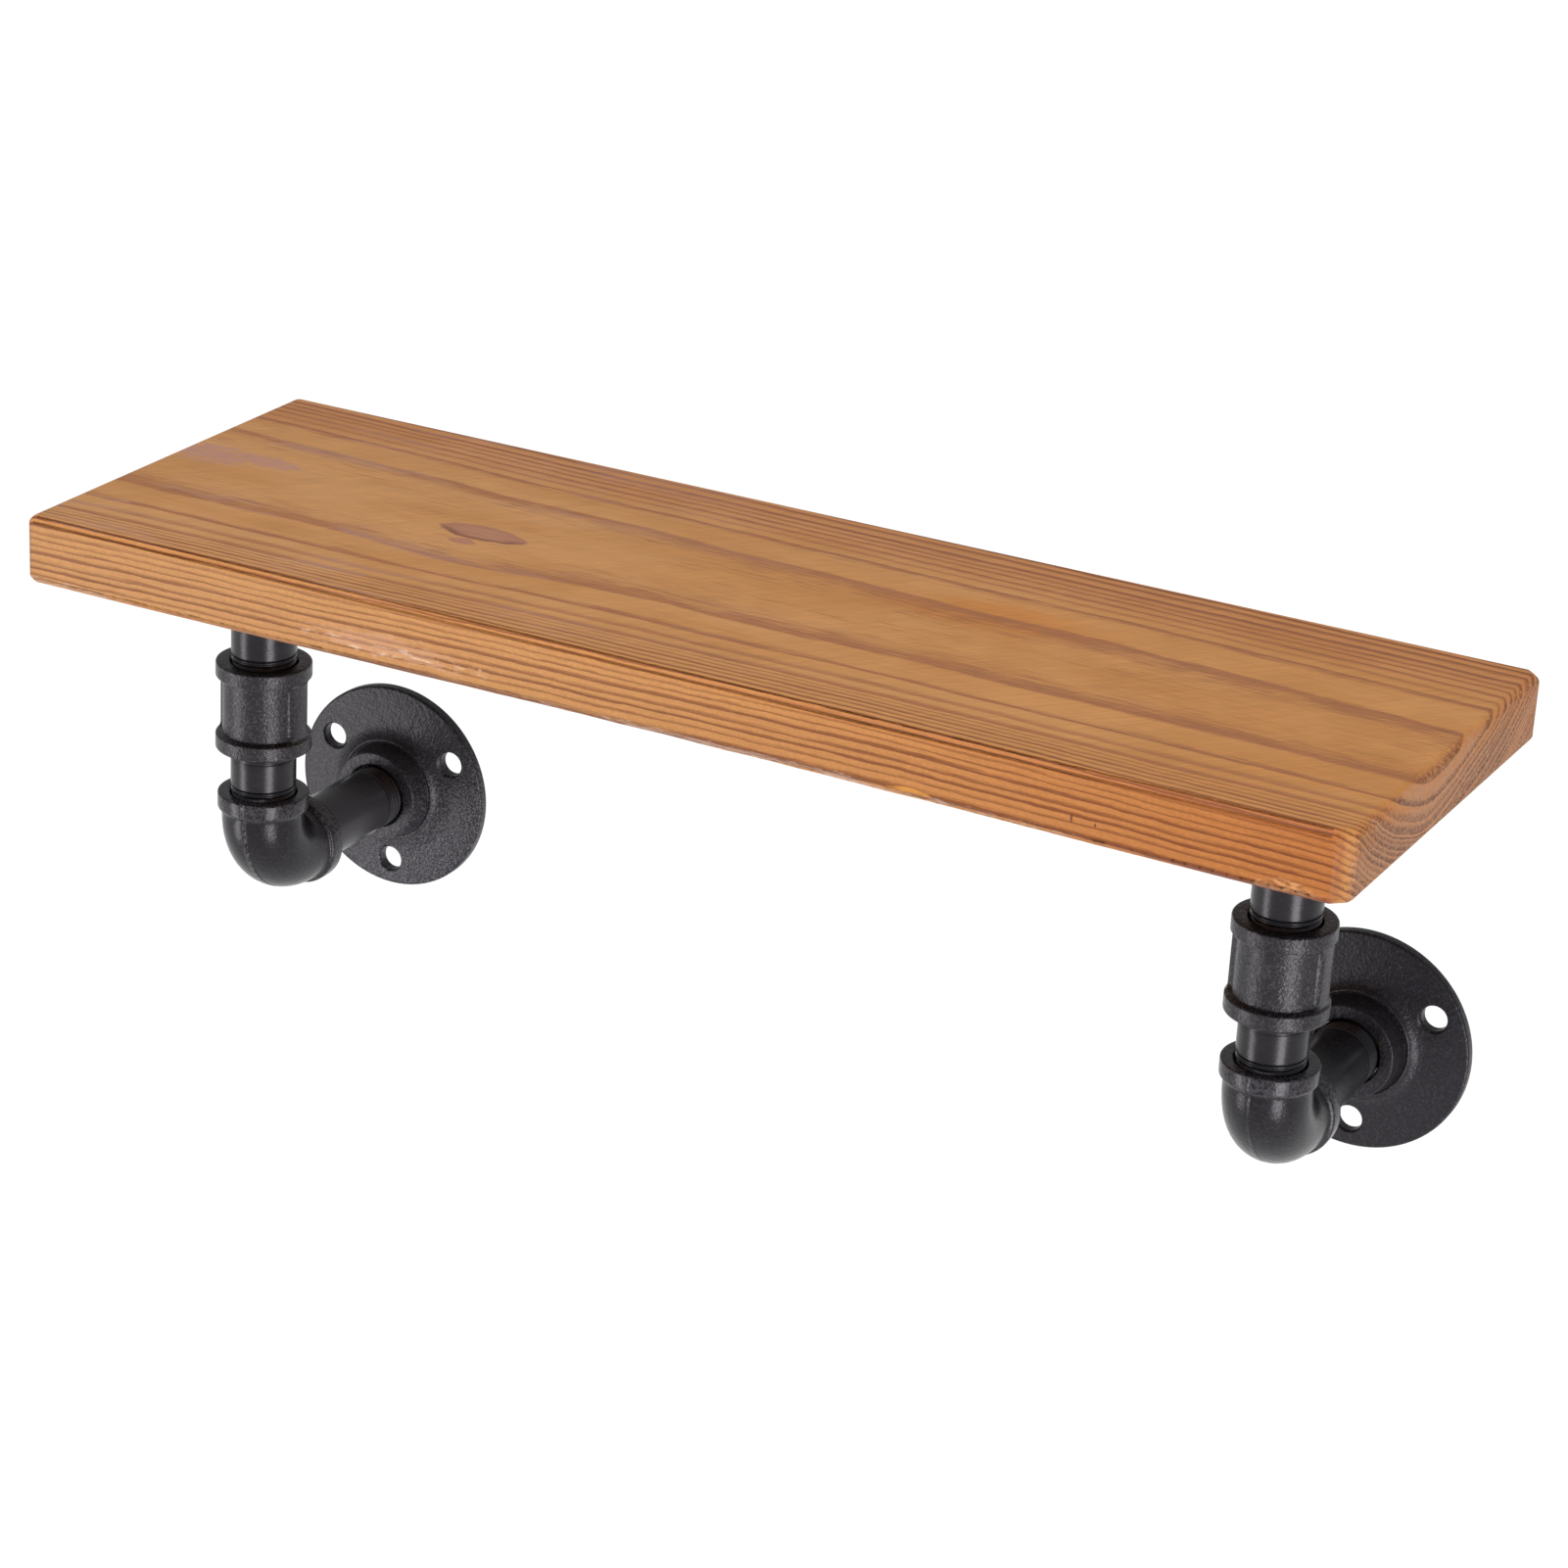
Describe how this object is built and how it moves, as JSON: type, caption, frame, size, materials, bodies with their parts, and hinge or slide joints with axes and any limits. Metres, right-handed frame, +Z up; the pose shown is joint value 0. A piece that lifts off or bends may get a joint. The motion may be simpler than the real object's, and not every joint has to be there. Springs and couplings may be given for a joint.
{
  "type": "wall-mounted pipe shelf",
  "caption": "Short pine board on two wall brackets of black pipe: a flange and level nipple to an elbow, then a coupling and nipples up to a flange under the board.",
  "frame": {"origin": "on the wall plane, midway between the axes of the two wall flanges", "axes": "+X along the board to its right end as seen from the front, +Y into the wall, +Z up"},
  "size_m": [0.44, 0.152, 0.1668],
  "materials": {
    "oiled_pine": "orange-brown oiled pine with a satin sheen",
    "black_cast_iron": "semi-matt black powder coat over grainy cast iron",
    "black_pipe": "satin black coat over smooth drawn steel pipe",
    "screw_steel": "plain bright steel"
  },
  "bodies": {
    "root": {"shelf_board": "oiled_pine", "left_wall_flange": "black_cast_iron", "left_wall_nipple": "black_pipe", "left_elbow": "black_cast_iron", "left_lower_nipple": "black_pipe", "left_coupling": "black_cast_iron", "left_upper_nipple": "black_pipe", "left_board_flange": "black_cast_iron", "left_board_screw_1": "screw_steel", "left_board_screw_2": "screw_steel", "left_board_screw_3": "screw_steel", "right_wall_flange": "black_cast_iron", "right_wall_nipple": "black_pipe", "right_elbow": "black_cast_iron", "right_lower_nipple": "black_pipe", "right_coupling": "black_cast_iron", "right_upper_nipple": "black_pipe", "right_board_flange": "black_cast_iron", "right_board_screw_1": "screw_steel", "right_board_screw_2": "screw_steel", "right_board_screw_3": "screw_steel"}
  },
  "joints": []
}
